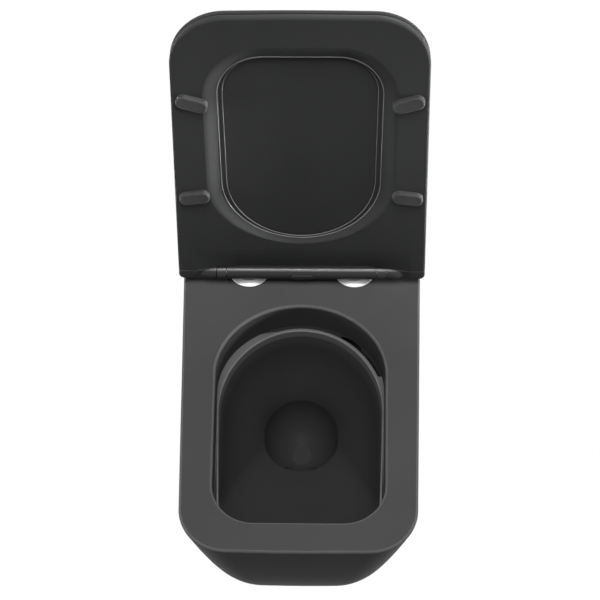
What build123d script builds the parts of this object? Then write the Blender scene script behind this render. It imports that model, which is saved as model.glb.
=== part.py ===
from build123d import *
import math
import os

# Wall hung rimless toilet with a soft close seat and lid, both raised.
# Millimetres. +Z is up, the front faces -Y, and the wall plane is y = 0.
# The origin is midway between the two wall studs, on the wall plane.

# Overall pan
RIM_Z = 80.0                 # flat top deck above the wall studs
PAN_BOTTOM_Z = -262.0
PAN_PROJECTION = 544.5       # wall to the front of the rim
PAN_REAR_HALF = 178.0        # half width at the wall
PAN_FRONT_HALF = 159.0       # half width where the front corners begin
PAN_CORNER_R = 66.0
PAN_FRONT_BOW = 3.0          # the front edge is slightly crowned
PAN_DEPTH = RIM_Z - PAN_BOTTOM_Z
BODY_SHARES = (0, 0.18, 0.33, 0.46, 0.57, 0.67, 0.76, 0.84, 0.92, 1.0)   # levels of the shroud
UNDERCUT, UNDERCUT_POWER = 330.0, 3.25     # the front runs back under the bowl
REAR_DRAW, REAR_DRAW_POWER = 54.0, 1.85    # narrowing at the wall
FRONT_DRAW, FRONT_DRAW_TURN = 75.0, 1.68   # narrowing at the front, as part of a sine wave
SHELL = 11.0                 # china wall of the shroud
DECK = 13.0
BOWL_WALL = 9.0
RIM_EDGE_R = 4.0

# Hinge line and raised angle
HINGE_Y = -100.0
HINGE_RISE = 16.0            # axis above the deck
HINGE_Z = RIM_Z + HINGE_RISE
RAISED_DEG = 99.5
BARREL_R = 10.6
BAR_HALF = 109.5
LID_KNUCKLE = (110.5, 123.7)
SEAT_KNUCKLE = (124.8, 157.0)
SHAFT_R = 4.0
RUNNING = 0.05               # radial clearance of a turning fit
SLIP = 0.15                  # radial clearance of a push-on fit
EASE = 0.3                   # play between sliding pieces
END_PLAY = 0.5               # room at the end of a bore
PAST = 1.0                   # how far a cutter runs past the face that it cuts
SKIN = 0.01                  # the same, where the cutter's slope matters
KEY_HALF = 3.0               # half thickness across a shaft's two flats

# Rim opening and bowl, as distances in front of the hinge axis
OPEN_HALF, OPEN_REAR, OPEN_MID, OPEN_FRONT = 120.0, 51.0, 165.0, 400.0
OPEN_FRONT_HALF, OPEN_CORNER_R = 115.0, 57.0
SHELF_Z = 30.0
LIP_HALF, LIP_REAR, LIP_MID, LIP_FRONT = 117.0, 60.5, 197.0, 396.0
LIP_FRONT_HALF = 111.0
BOWL_TAPER = 1.0             # each level of the bowl is narrower at its front corners
CHANNEL_DEPTH = 24.0         # flush channel sunk into the rear right shelf
CHANNEL_START, CHANNEL_FULL = -60.0, 12.0   # across, where it begins and where it is full depth
CHANNEL_END = 139.0          # step at its end, in front of the hinge axis
CHANNEL_CURB = 5.0

# Sump under the bowl, and the trap that leaves it forwards and runs back beneath it
SUMP_Z, SUMP_DEPTH = -80.0, 60.0
SUMP_HALF, SUMP_REAR, SUMP_MID, SUMP_FRONT, SUMP_CORNER_R = 55.0, 112.0, 173.0, 234.0, 52.0
TRAP_R, TRAP_WALL, TRAP_BEND = 26.0, 9.0, 36.0
TRAP_TURN, TRAP_TURN_Z = 231.0, -134.0   # end of the slanting mouth: in front of the hinge axis, height
TRAP_LEAD = 33.0             # the mouth starts this far back, and as far up, inside the sump
TRAP_RISE = 95.0             # the passage turns up here, in front of the hinge axis

# Connections at the wall
STUD_SPACING = 180.0
STUD_HOLE_R = 6.25
INLET_Z, INLET_R, INLET_DEPTH = 35.0, 27.5, 55.0
OUTLET_Z, OUTLET_R, OUTLET_LENGTH = -100.0, 51.0, 60.0
OUTLET_BORE_R, OUTLET_BORE_DEPTH = 43.0, 45.0
FEED_R = 12.0
FEED_END = (84.0, 88.0, 16.0)  # to the right, in front of the hinge axis, height

# Hinge fixings
POST_SPACING = 155.0
POST_BACK = 12.0             # posts stand behind the hinge axis
ROSETTE_R, ROSETTE_CROWN_R = 29.0, 20.0
ROSETTE_EDGE, ROSETTE_SOFT, ROSETTE_H = 0.8, 0.4, 4.0
GASKET_H, GASKET_INSET = 1.0, 1.5
POST_R, POST_NECK_R, POST_CHAMFER = 6.0, 4.0, 1.4
POST_TOP = 18.5              # above the deck
NECK_LOW, NECK_HIGH = 12.8, 16.2
DECK_HOLE_R = 8.0
STUD_R = 4.0
STUD_TAIL, STUD_REACH = 14.0, 10.0         # below the nut, and above the deck inside the post
STUD_TOP = RIM_Z + STUD_REACH
PLUG_LENGTH, PLUG_PLAY, PLUG_TAPER = 34.0, 0.1, 1.0
PLUG_BULGE, PLUG_BULGE_SPAN = 2.5, (3.0, 8.0)   # swelling, and where it is below the deck
PLUG_STEP = 0.2
NUT_R, NUT_H, NUT_CONE = 7.2, 6.0, 1.0
POST_Y = HINGE_Y + POST_BACK

# Hidden side fixing
SIDE_FIXING_DEPTH = 75.0     # from the wall
SIDE_SCREW_R, SIDE_HOLE_R, SIDE_RECESS_R = 4.0, 5.5, 9.0
SIDE_SEAT = 161.5            # where the screw head bears, from the middle plane
SIDE_TIP = 6.0               # the screw runs on past the bracket
SIDE_HEAD_R, SIDE_HEAD_H = 8.0, 2.5
SIDE_SOCKET_R, SIDE_SOCKET_FLOOR = 2.5, 0.8
CAP_R, CAP_H, CAP_EDGE_R = 8.9, 3.1, 1.2
BRACKET_INNER, BRACKET_OUTER, BRACKET_THICK = 70.0, 147.0, 9.0
BRACKET_HALF, BRACKET_REACH = 20.0, 96.0
GUSSET_ROOT, GUSSET_LEG = 5.0, 37.0

# Hinge bar
BAR_BACK = 26.0              # depth of the bar behind the axis
BAR_TOP = 6.0                # flat rear top above the axis
BAR_EDGE_R = 4.0
DAMPER_R = 5.6
DAMPER_SPAN = (38.0, 104.0)
BUTTON_HALF, BUTTON_HEIGHT, BUTTON_TRAVEL = 16.0, 8.0, 2.5
BUTTON_PROUD, BUTTON_EDGE_R = 0.5, 0.8
BUTTON_BACK = 3.0            # back of the button's head, in front of the axis
BUTTON_FLAT = 0.2            # straight length between the corners of its ends
LATCH_LOW, LATCH_HIGH = 13.2, 15.8   # latch plates, above the deck
LATCH_HALF_DEPTH, LATCH_INNER = 5.0, 4.0
LATCH_BITE, LATCH_EASE = 0.8, 0.2    # grip round the neck, and room under the plate
LATCH_WINDOW, LATCH_WINDOW_HALF = (26.0, 60.0), 2.5
PIN_X, PIN_R, PIN_EASE = 8.0, 1.2, 0.3
TAIL_HALF, TAIL_THICK, TAIL_PAST_POST = 13.0, 2.0, 4.0
SPRING_HALF, SPRING_SHEET, SPRING_ROOM = 11.0, 0.5, 6.5
TRAY_HALF = 90.0
COVER_HALF, COVER_THICK = 101.0, 2.0
COVER_FRONT, COVER_BACK = 7.0, 10.0  # either side of the posts
POST_BLOCK = (-14.0, 11.0)           # guide round a post, inwards and outwards of it
MID_BLOCK = (18.0, 30.0)             # guide under the latch's inner end
SCREW_R, SCREW_HEAD_R, SCREW_X = 1.5, 2.8, 96.0
SCREW_LENGTH, SCREW_HEAD_H, SCREW_SUNK = 9.0, 1.2, 0.2
SHAFT_INNER, SHAFT_OUTER = 60.0, 146.0
KEY_STEP = 1.0               # the lid shaft's round end is thinner than its flats
BUSH_R = 5.5
KNUCKLE_ROUND, KNUCKLE_TIP_R, KNUCKLE_FALL = 7.0, 3.0, 0.35   # level length, thin end, slope there

# Seat and lid, measured closed
SEAT_LIFT = 8.0              # underside above the deck, filled by the buffers
SEAT_THICK, LID_THICK, LID_GAP = 12.0, 8.0, 2.0
SEAT_EDGE_R, LID_EDGE_R = (3.0, 4.0), (2.5, 4.5)    # lower and upper edges
REAR_CORNER_R = 8.0
SEAT_FRONT = 448.0
SEAT_REAR_HALF, SEAT_FRONT_HALF, SEAT_CORNER_R = 180.0, 167.0, 74.0
EAR_BACK = 7.0               # rear corners reach behind the hinge axis
EAR_INNER = 160.0
REAR_EDGE = 13.0             # rear edge of the panels in front of the axis
REAR_THIN, REAR_THIN_RUN = 7.5, 40.0     # the seat's underside rises towards the bar
REAR_THIN_INNER, REAR_THIN_OUTER = 96.0, 158.0   # across, where that is full and where it has run out
SEAT_OPEN_HALF, SEAT_OPEN_REAR, SEAT_OPEN_MID, SEAT_OPEN_FRONT = 110.0, 69.0, 173.0, 384.0
SEAT_OPEN_FRONT_HALF, SEAT_OPEN_CORNER_R = 108.0, 61.0
SEAT_SLOPE, SEAT_LIP = 22.0, 4.0     # underside falls away to a thin lip at the opening
SLOPE_CURVE = ((0.6, 0.22), (0.2, 0.78))   # shares of its width and rise, between its two ends
SLOPE_REAR = 0.25            # share of its width at the rear of the opening
BUFFER_LONG, BUFFER_WIDE, BUFFER_EDGE_R = 43.0, 20.0, 2.5
BUFFER_SUNK = 4.0            # reaches up into the seat's slope
BUFFERS = ((143.0, 316.0, 18.0), (148.0, 153.0, -8.0))   # half spacing, reach, tilt
BUFFER_GAP = 0.4
LID_DISH = 1.6
DISH_CURVE = ((-6.0, 0.7), (-40.0, 1.0))   # inside the opening's outline, share of the depth
DISH_EDGE = 16.0             # the dish begins this far outside the opening's outline
LID_ARM, LID_ARM_THIN = 14.0, 2.0          # arms from the knuckles into the panel
LID_PADS, LID_PAD_R = ((138.0, 70.0), (135.0, 372.0)), 6.0

TAIL_LOW_Z = RIM_Z + LATCH_HIGH + EASE
TAIL_TOP_Z = TAIL_LOW_Z + TAIL_THICK
TAIL_END_Y = POST_Y + TAIL_PAST_POST
SPRING_SEAT_Y = TAIL_END_Y + SPRING_ROOM
COVER_Y = (POST_Y - COVER_FRONT, POST_Y + COVER_BACK)
BAR_FLOOR_Z = HINGE_Z - BARREL_R

HINGE_AXIS = Axis((0, HINGE_Y, HINGE_Z), (1, 0, 0))


def front(distance):
    """The y of a point at a distance in front of the hinge axis."""
    return HINGE_Y - distance


def at_height(face, z):
    """A flat face lifted to a height."""
    return Pos(0, 0, z) * face


def slab(face, low, high):
    """A flat face extruded between two heights."""
    return extrude(at_height(face, low), amount=high - low)


def box(x, y, z):
    """A box from three pairs of limits."""
    size = [pair[1] - pair[0] for pair in (x, y, z)]
    middle = [(pair[0] + pair[1]) / 2 for pair in (x, y, z)]
    return Pos(*middle) * Box(*size)


def along_x(radius, low, high, y=HINGE_Y, z=HINGE_Z):
    """A cylinder along X between two stations."""
    return Pos((low + high) / 2, y, z) * Rot(0, 90, 0) * Cylinder(radius, high - low)


def along_y(radius, low, high, x, z):
    """A cylinder along Y between two stations."""
    return Pos(x, (low + high) / 2, z) * Rot(90, 0, 0) * Cylinder(radius, high - low)


def along_z(radius, low, high, x, y):
    """A standing cylinder between two heights."""
    return Pos(x, y, (low + high) / 2) * Cylinder(radius, high - low)


def tapered_outline(rear_y, front_y, rear_half, front_half, corner_r, bow=PAN_FRONT_BOW):
    """Plan outline with tapering sides, large front corners and a crowned front edge."""
    shoulder_y = front_y + bow
    with BuildSketch() as plan:
        with BuildLine():
            Line((rear_half, rear_y), (-rear_half, rear_y))
            Line((-rear_half, rear_y), (-front_half, shoulder_y))
            ThreePointArc((-front_half, shoulder_y), (0, front_y), (front_half, shoulder_y))
            Line((front_half, shoulder_y), (rear_half, rear_y))
        make_face()
        corners = plan.vertices().sort_by(Axis.Y)[:2]
        fillet(corners, corner_r)
    return plan.sketch.face()


def arch_outline(half, rear, middle, front_reach, front_half, corner_r, grow=0.0):
    """Opening outline: half ellipse at the rear, slightly tapering sides, rounded front."""
    mid_y = front(middle)
    front_y = front(front_reach + grow)
    wide = half + grow
    narrow = front_half + grow
    with BuildSketch() as plan:
        with BuildLine():
            EllipticalCenterArc((0, mid_y), wide, middle - rear + grow, start_angle=0, arc_size=180)
            Line((-wide, mid_y), (-narrow, front_y))
            Line((-narrow, front_y), (narrow, front_y))
            Line((narrow, front_y), (wide, mid_y))
        make_face()
        corners = plan.vertices().sort_by(Axis.Y)[:2]
        fillet(corners, corner_r + grow)
    return plan.sketch.face()


def rim_opening(grow=0.0):
    """Outline of the opening in the deck."""
    return arch_outline(OPEN_HALF, OPEN_REAR, OPEN_MID, OPEN_FRONT, OPEN_FRONT_HALF, OPEN_CORNER_R, grow)


def lip_outline(grow=0.0):
    """Outline of the shelf's inner edge, where the bowl begins."""
    return arch_outline(LIP_HALF, LIP_REAR, LIP_MID, LIP_FRONT, LIP_FRONT_HALF, OPEN_CORNER_R, grow)


def body_section(share, inset=0.0):
    """One level of the shroud, at a share of its depth; all but the wall plane moves in by the inset."""
    outline = tapered_outline(
        rear_y=2 * inset,
        front_y=UNDERCUT * share ** UNDERCUT_POWER + inset - PAN_PROJECTION,
        rear_half=PAN_REAR_HALF - REAR_DRAW * share ** REAR_DRAW_POWER - inset,
        front_half=PAN_FRONT_HALF - FRONT_DRAW * math.sin(FRONT_DRAW_TURN * share) - inset,
        corner_r=PAN_CORNER_R - inset,
    )
    return at_height(outline, RIM_Z - PAN_DEPTH * share)


# Levels of the bowl from the shelf to the sump: height, half width, rear, middle, front, corner radius
BOWL_LEVELS = (
    (SHELF_Z, LIP_HALF, LIP_REAR, LIP_MID, LIP_FRONT, OPEN_CORNER_R),
    (SHELF_Z - 40, 104.0, 72.0, 200.0, 366.0, 62.0),
    (SHELF_Z - 80, 78.0, 94.0, 194.0, 300.0, 60.0),
    (SUMP_Z, SUMP_HALF, SUMP_REAR, SUMP_MID, SUMP_FRONT, SUMP_CORNER_R),
)

# Levels of the sump, on down to its floor
SUMP_LEVELS = (
    BOWL_LEVELS[-1],
    (SUMP_Z - 20, 49.0, 118.0, SUMP_MID, 228.0, 46.0),
    (SUMP_Z - 42, 36.0, 132.0, SUMP_MID, 213.0, 34.0),
    (SUMP_Z - SUMP_DEPTH, 14.0, 156.0, SUMP_MID, 190.0, 12.0),
)


def lofted(levels, grow, sink=0.0):
    """A loft through levels of the bowl, grown by a wall; all but its top level sinks."""
    outlines = []
    for number, (z, half, rear, middle, reach, corner_r) in enumerate(levels):
        outline = arch_outline(half, rear, middle, reach, half - BOWL_TAPER, corner_r, grow)
        outlines.append(at_height(outline, z - sink * min(number, 1)))
    return loft(outlines)


def bowl_loft(grow=0.0):
    """The bowl from the shelf down to the sump."""
    return lofted(BOWL_LEVELS, grow)


def sump(grow=0.0):
    """The dished well under the bowl, whose front stands steeper than the bowl's."""
    return lofted(SUMP_LEVELS, grow, grow)


def trap_path():
    """Centre line of the trap: forward out of the sump, back under it, over the weir and out to the wall."""
    slant = TRAP_BEND * math.sqrt(0.5)
    turn_y, turn_z = front(TRAP_TURN) + slant, TRAP_TURN_Z - slant
    dip_z = turn_z - TRAP_BEND
    rise_y = front(TRAP_RISE)
    weir_y = rise_y + 2 * TRAP_BEND
    weir_turn_z = OUTLET_Z - TRAP_BEND
    with BuildLine(Plane.YZ) as path:
        Line((front(TRAP_TURN - TRAP_LEAD), TRAP_TURN_Z + TRAP_LEAD), (front(TRAP_TURN), TRAP_TURN_Z))
        CenterArc((turn_y, turn_z), TRAP_BEND, 135, 135)
        Line((turn_y, dip_z), (rise_y, dip_z))
        CenterArc((rise_y, turn_z), TRAP_BEND, 270, 90)
        Line((rise_y + TRAP_BEND, turn_z), (rise_y + TRAP_BEND, weir_turn_z))
        CenterArc((weir_y, weir_turn_z), TRAP_BEND, 180, -90)
        Line((weir_y, OUTLET_Z), (0, OUTLET_Z))
    return path.line


def trap_tube(radius):
    """A round tube along the trap's centre line."""
    path = trap_path()
    start = Plane(origin=path @ 0, z_dir=path % 0)
    return sweep(start * Circle(radius), path=path)


def flush_feed(radius):
    """Passage from the inlet to the flush channel at the rear right of the bowl, short of its curb."""
    across, reach, height = FEED_END
    start = Vector(0, INLET_R - INLET_DEPTH, INLET_Z)
    run = Vector(across, front(reach), height) - start
    tube = Plane(origin=start, z_dir=run) * Pos(0, 0, run.length / 2) * Cylinder(radius, run.length)
    return tube - slab(lip_outline(CHANNEL_CURB), PAN_BOTTOM_Z, RIM_Z)


def flush_channel():
    """Trough in the shelf that deepens from the left of the rear and ends in a step on the right."""
    floor = SHELF_Z - CHANNEL_DEPTH
    ring = slab(rim_opening() - lip_outline(CHANNEL_CURB), floor, SHELF_Z + PAST)
    side_view = Polygon((CHANNEL_START, SHELF_Z + PAST), (CHANNEL_START, SHELF_Z), (CHANNEL_FULL, floor),
                        (PAN_REAR_HALF, floor), (PAN_REAR_HALF, SHELF_Z + PAST), align=None)
    facing = Plane((0, HINGE_Y, 0), x_dir=(1, 0, 0), z_dir=(0, -1, 0))
    return ring & extrude(facing * side_view, amount=CHANNEL_END)


def rounded_rim(china):
    """The deck's outer and opening edges, softened by the glaze."""
    deck = china.faces().filter_by(Axis.Z).sort_by(Axis.Z)[-1]
    opening = max(deck.inner_wires(), key=lambda wire: wire.length)
    edges = [edge for wire in (deck.outer_wire(), opening) for edge in wire.edges()]
    edges = [edge for edge in edges if edge.center().Y < -RIM_EDGE_R]
    return fillet(edges, RIM_EDGE_R)


def make_pan():
    """The china pan: shroud, deck, rimless bowl, trap, inlet and outlet in one casting."""
    outer = loft([body_section(share) for share in BODY_SHARES])
    hollow = loft([body_section(share, SHELL) for share in BODY_SHARES])
    across = (-PAN_REAR_HALF, PAN_REAR_HALF)
    cavity = hollow & box(across, (-PAN_PROJECTION, PAN_PROJECTION), (PAN_BOTTOM_Z + SHELL, RIM_Z - DECK))
    china = outer - cavity
    well = slab(rim_opening(BOWL_WALL), SHELF_Z - CHANNEL_DEPTH - BOWL_WALL, RIM_Z)
    inlet = along_y(INLET_R + BOWL_WALL, -INLET_DEPTH - BOWL_WALL, 0, 0, INLET_Z)
    spigot = along_y(OUTLET_R, -OUTLET_LENGTH, 0, 0, OUTLET_Z)
    inner_work = well + bowl_loft(BOWL_WALL) + sump(BOWL_WALL) + inlet + spigot
    inner_work += trap_tube(TRAP_R + TRAP_WALL) + flush_feed(FEED_R + BOWL_WALL)
    china += inner_work & outer
    china -= slab(rim_opening(), SHELF_Z, RIM_Z + PAST)
    china -= bowl_loft()
    china -= sump()
    china -= flush_channel()
    china -= along_y(INLET_R, -INLET_DEPTH, PAST, 0, INLET_Z)
    china -= flush_feed(FEED_R)
    china -= trap_tube(TRAP_R)
    china -= along_y(OUTLET_BORE_R, -OUTLET_BORE_DEPTH, PAST, 0, OUTLET_Z)
    for side in (-1, 1):
        china -= along_z(DECK_HOLE_R, RIM_Z - DECK - PAST, RIM_Z + PAST, post_x(side), POST_Y)
        china -= sideways(SIDE_HOLE_R, BRACKET_OUTER, PAN_REAR_HALF, side)
        china -= sideways(SIDE_RECESS_R, SIDE_SEAT, PAN_REAR_HALF, side)
    return rounded_rim(china)


def sideways(radius, low, high, side):
    """A cylinder on the side fixing's axis, between two distances from the middle plane."""
    limits = sorted((side * low, side * high))
    return along_x(radius, limits[0], limits[1], -SIDE_FIXING_DEPTH, 0)


def make_wall_bracket(side):
    """Hidden fixing: one leg on the wall stud, one leg along the shroud's side wall."""
    tall = (-BRACKET_HALF, BRACKET_HALF)
    legs = box((BRACKET_INNER, BRACKET_OUTER), (-BRACKET_THICK, 0), tall)
    legs += box((BRACKET_OUTER - BRACKET_THICK, BRACKET_OUTER), (-BRACKET_REACH, 0), tall)
    root = BRACKET_OUTER - GUSSET_ROOT
    corner = (root, -GUSSET_ROOT)
    gusset = Polygon(corner, (root, -GUSSET_ROOT - GUSSET_LEG), (root - GUSSET_LEG, -GUSSET_ROOT), align=None)
    legs += slab(gusset, -BRACKET_THICK / 2, BRACKET_THICK / 2)
    ends = legs.edges().filter_by(Axis.X).sort_by(Axis.Y)[:2]
    legs = fillet(ends, BRACKET_THICK)
    legs -= along_y(STUD_HOLE_R, -BRACKET_THICK - PAST, PAST, STUD_SPACING / 2, 0)
    legs -= sideways(SIDE_SCREW_R, BRACKET_OUTER - BRACKET_THICK - PAST, BRACKET_OUTER + PAST, 1)
    return legs if side > 0 else legs.mirror(Plane.YZ)


def make_side_screws():
    """Screws through the side walls into the brackets, with wide flat heads."""
    screws = []
    for side in (-1, 1):
        shank = sideways(SIDE_SCREW_R, BRACKET_OUTER - BRACKET_THICK - SIDE_TIP, SIDE_SEAT, side)
        head = sideways(SIDE_HEAD_R, SIDE_SEAT, SIDE_SEAT + SIDE_HEAD_H, side)
        socket = sideways(SIDE_SOCKET_R, SIDE_SEAT + SIDE_SOCKET_FLOOR, SIDE_SEAT + SIDE_HEAD_H + PAST, side)
        screws.append(shank + head - socket)
    return Compound(children=screws)


def make_side_caps():
    """Push-in caps that close the side recesses."""
    caps = []
    for side in (-1, 1):
        low = SIDE_SEAT + SIDE_HEAD_H
        cap = sideways(CAP_R, low, low + CAP_H, side)
        rim = cap.edges().sort_by(Axis.X)[-1 if side > 0 else 0]
        caps.append(fillet(rim, CAP_EDGE_R))
    return Compound(children=caps)


def post_x(side):
    """Where a hinge post stands."""
    return side * POST_SPACING / 2


def turned(profile, x, y):
    """A revolved piece standing at a point, from a profile of radius and height."""
    section = Plane.XZ * make_face(Polyline(*profile, close=True))
    return Pos(x, y, 0) * revolve(section, Axis.Z)


def make_rosette(side):
    """Chrome cover disc with a wide bevel up to a flat crown round its post, lying on its gasket."""
    low = RIM_Z + GASKET_H
    edge = low + ROSETTE_EDGE
    profile = (
        (POST_R, low), (ROSETTE_R, low), (ROSETTE_R, edge), (ROSETTE_R - ROSETTE_SOFT, edge + ROSETTE_SOFT),
        (ROSETTE_CROWN_R, low + ROSETTE_H), (POST_R, low + ROSETTE_H),
    )
    return turned(profile, post_x(side), POST_Y)


def make_rosette_gaskets():
    """Soft rings that keep the discs off the china."""
    rings = []
    for side in (-1, 1):
        top = RIM_Z + GASKET_H
        ring = along_z(ROSETTE_R - GASKET_INSET, RIM_Z, top, post_x(side), POST_Y)
        rings.append(ring - along_z(DECK_HOLE_R, RIM_Z - PAST, top + PAST, post_x(side), POST_Y))
    return Compound(children=rings)


def make_post(side):
    """Turned pillar with a neck that the latch grips, threaded onto its stud."""
    low = RIM_Z + GASKET_H
    top = RIM_Z + POST_TOP
    profile = (
        (0, STUD_TOP), (STUD_R, STUD_TOP), (STUD_R, low), (POST_R, low), (POST_R, RIM_Z + NECK_LOW),
        (POST_NECK_R, RIM_Z + NECK_LOW), (POST_NECK_R, RIM_Z + NECK_HIGH), (POST_R, RIM_Z + NECK_HIGH),
        (POST_R, top - POST_CHAMFER), (POST_R - POST_CHAMFER, top), (0, top),
    )
    return turned(profile, post_x(side), POST_Y)


def make_hinge_studs():
    """Threaded rods from the posts down to the clamping nuts."""
    low = RIM_Z - PLUG_LENGTH - NUT_H - STUD_TAIL
    return Compound(children=[along_z(STUD_R, low, STUD_TOP, post_x(side), POST_Y) for side in (-1, 1)])


def make_deck_plugs():
    """Rubber sleeves that swell under the deck when the studs are tightened."""
    under = RIM_Z - DECK
    low = RIM_Z - PLUG_LENGTH
    bore = STUD_R + RUNNING
    sleeve = DECK_HOLE_R - PLUG_PLAY
    swollen = DECK_HOLE_R + PLUG_BULGE
    profile = (
        (bore, low), (DECK_HOLE_R - PLUG_TAPER, low), (swollen, under - PLUG_BULGE_SPAN[1]),
        (swollen, under - PLUG_BULGE_SPAN[0]), (sleeve, under - PLUG_STEP), (sleeve, RIM_Z), (bore, RIM_Z),
    )
    return Compound(children=[turned(profile, post_x(side), POST_Y) for side in (-1, 1)])


def make_plug_nuts():
    """Coned nuts drawn up into the plugs."""
    top = RIM_Z - PLUG_LENGTH
    profile = (
        (STUD_R, top - NUT_H), (NUT_R, top - NUT_H), (NUT_R, top - NUT_CONE), (NUT_R - NUT_CONE, top),
        (STUD_R, top),
    )
    return Compound(children=[turned(profile, post_x(side), POST_Y) for side in (-1, 1)])


def bar_section():
    """End view of the hinge bar: a round barrel in front and a flat housing over the posts."""
    with BuildSketch(Plane.YZ) as view:
        with Locations((HINGE_Y, HINGE_Z)):
            Circle(BARREL_R)
        with Locations((HINGE_Y, HINGE_Z - BARREL_R)):
            Rectangle(BAR_BACK, BARREL_R + BAR_TOP, align=(Align.MIN, Align.MIN))
        fillet(view.vertices().sort_by(Axis.Y)[-2:], BAR_EDGE_R)
    return view.sketch


def make_hinge_bar():
    """Fixed housing: damper bores along the axis, a latch tray below and a button window in front."""
    bar = extrude(bar_section(), amount=BAR_HALF, both=True)
    under = BAR_FLOOR_Z - PAST
    for side in (-1, 1):
        ends = sorted((side * (DAMPER_SPAN[0] - END_PLAY), side * (BAR_HALF + PAST)))
        bar -= along_x(DAMPER_R, ends[0], ends[1])
        bar -= along_z(POST_R + SLIP, under, RIM_Z + POST_TOP + END_PLAY, post_x(side), POST_Y)
        bar -= along_z(SCREW_R, under, BAR_FLOOR_Z + SCREW_LENGTH, side * SCREW_X, POST_Y)
    tray_half = LATCH_HALF_DEPTH + EASE
    bar -= box((-TRAY_HALF, TRAY_HALF), (POST_Y - tray_half, POST_Y + tray_half), (under, TAIL_LOW_Z))
    window = BUTTON_HEIGHT / 2 + EASE
    wide = BUTTON_HALF + EASE
    window_y = (HINGE_Y - BARREL_R - PAST, HINGE_Y - BUTTON_BACK + BUTTON_TRAVEL + EASE)
    bar -= box((-wide, wide), window_y, (HINGE_Z - window, HINGE_Z + window))
    bar -= box((-wide, wide), (HINGE_Y - BUTTON_BACK, SPRING_SEAT_Y), (RIM_Z + LATCH_HIGH, TAIL_TOP_Z + EASE))
    seat_of_cover = box((-COVER_HALF, COVER_HALF), COVER_Y, (under, BAR_FLOOR_Z + COVER_THICK))
    return bar - seat_of_cover


def make_bar_cover():
    """Floor of the latch tray, with guide blocks round the posts."""
    top = BAR_FLOOR_Z + COVER_THICK
    under = BAR_FLOOR_Z - PAST
    cover = box((-COVER_HALF, COVER_HALF), COVER_Y, (BAR_FLOOR_Z, top))
    tray_y = (POST_Y - LATCH_HALF_DEPTH, POST_Y + LATCH_HALF_DEPTH)
    for side in (-1, 1):
        round_post = sorted(side * (POST_SPACING / 2 + end) for end in POST_BLOCK)
        mid = sorted(side * end for end in MID_BLOCK)
        for across in (round_post, mid):
            cover += box(across, tray_y, (top, RIM_Z + LATCH_LOW - LATCH_EASE))
        cover -= along_z(POST_R + SLIP, under, RIM_Z + POST_TOP, post_x(side), POST_Y)
        cover -= along_z(SCREW_R, under, top + PAST, side * SCREW_X, POST_Y)
        cover -= along_z(SCREW_HEAD_R, under, BAR_FLOOR_Z + SCREW_HEAD_H, side * SCREW_X, POST_Y)
    return cover


def make_cover_screws():
    """Small screws that close the bar from below."""
    low = BAR_FLOOR_Z + SCREW_SUNK
    screws = []
    for side in (-1, 1):
        shank = along_z(SCREW_R, low, BAR_FLOOR_Z + SCREW_LENGTH, side * SCREW_X, POST_Y)
        head = along_z(SCREW_HEAD_R, low, BAR_FLOOR_Z + SCREW_HEAD_H, side * SCREW_X, POST_Y)
        screws.append(shank + head)
    return Compound(children=screws)


def make_damper(side):
    """Rotary damper: a closed drum in the bar, bored for its shaft."""
    ends = sorted(side * end for end in DAMPER_SPAN)
    drum = along_x(DAMPER_R, ends[0], ends[1])
    bore = sorted((side * (SHAFT_INNER - PAST), side * (DAMPER_SPAN[1] + PAST)))
    return drum - along_x(SHAFT_R + RUNNING, bore[0], bore[1])


def keyed(low, high, ease=0.0):
    """A shaft with two flats, for a keyed end or its hole."""
    round_bar = along_x(SHAFT_R + ease, low, high)
    half = KEY_HALF + ease
    flats = box((low, high), (HINGE_Y - BARREL_R, HINGE_Y + BARREL_R), (HINGE_Z - half, HINGE_Z + half))
    return round_bar & flats


def make_seat_shaft():
    """Left shaft: turned by the seat's knuckle, free in the lid's, braked by the damper."""
    flats = LID_KNUCKLE[1] + EASE
    return along_x(SHAFT_R, -flats, -SHAFT_INNER) + keyed(-SHAFT_OUTER, -flats)


def make_lid_shaft():
    """Right shaft: turned by the lid's knuckle, with a round end that carries the seat."""
    inner = along_x(SHAFT_R, SHAFT_INNER, LID_KNUCKLE[0])
    outer = along_x(SHAFT_R - KEY_STEP, LID_KNUCKLE[1], SHAFT_OUTER)
    return inner + keyed(LID_KNUCKLE[0], LID_KNUCKLE[1]) + outer


def make_bush(low, high, bore_r):
    """Plain plastic bush on the hinge axis."""
    return along_x(BUSH_R, low, high) - along_x(bore_r, low - PAST, high + PAST)


def tail_slot(side):
    """Slanted slot that draws a latch inward as the button goes in."""
    slant = 135 if side < 0 else 45
    middle = (side * (PIN_X - BUTTON_TRAVEL / 2), POST_Y - BUTTON_TRAVEL / 2)
    length = BUTTON_TRAVEL * 2 ** 0.5 + 2 * (PIN_R + PIN_EASE) + 2 * PIN_EASE
    shape = Pos(*middle) * Rot(0, 0, slant) * SlotOverall(length, 2 * (PIN_R + PIN_EASE))
    return slab(shape, TAIL_LOW_Z - PAST, TAIL_TOP_Z + PAST)


def make_release_button():
    """Push button in the bar's front, with a slotted tail over the latches."""
    face = RectangleRounded(2 * BUTTON_HALF, BUTTON_HEIGHT, BUTTON_HEIGHT / 2 - BUTTON_FLAT)
    front_plane = Plane((0, HINGE_Y - BUTTON_BACK, HINGE_Z), x_dir=(1, 0, 0), z_dir=(0, -1, 0))
    head = extrude(front_plane * face, amount=BARREL_R - BUTTON_BACK + BUTTON_PROUD)
    head = fillet(head.faces().sort_by(Axis.Y)[0].edges(), BUTTON_EDGE_R)
    tail = box((-TAIL_HALF, TAIL_HALF), (HINGE_Y - BUTTON_BACK - PAST, TAIL_END_Y), (TAIL_LOW_Z, TAIL_TOP_Z))
    return head + tail - tail_slot(-1) - tail_slot(1)


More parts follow.
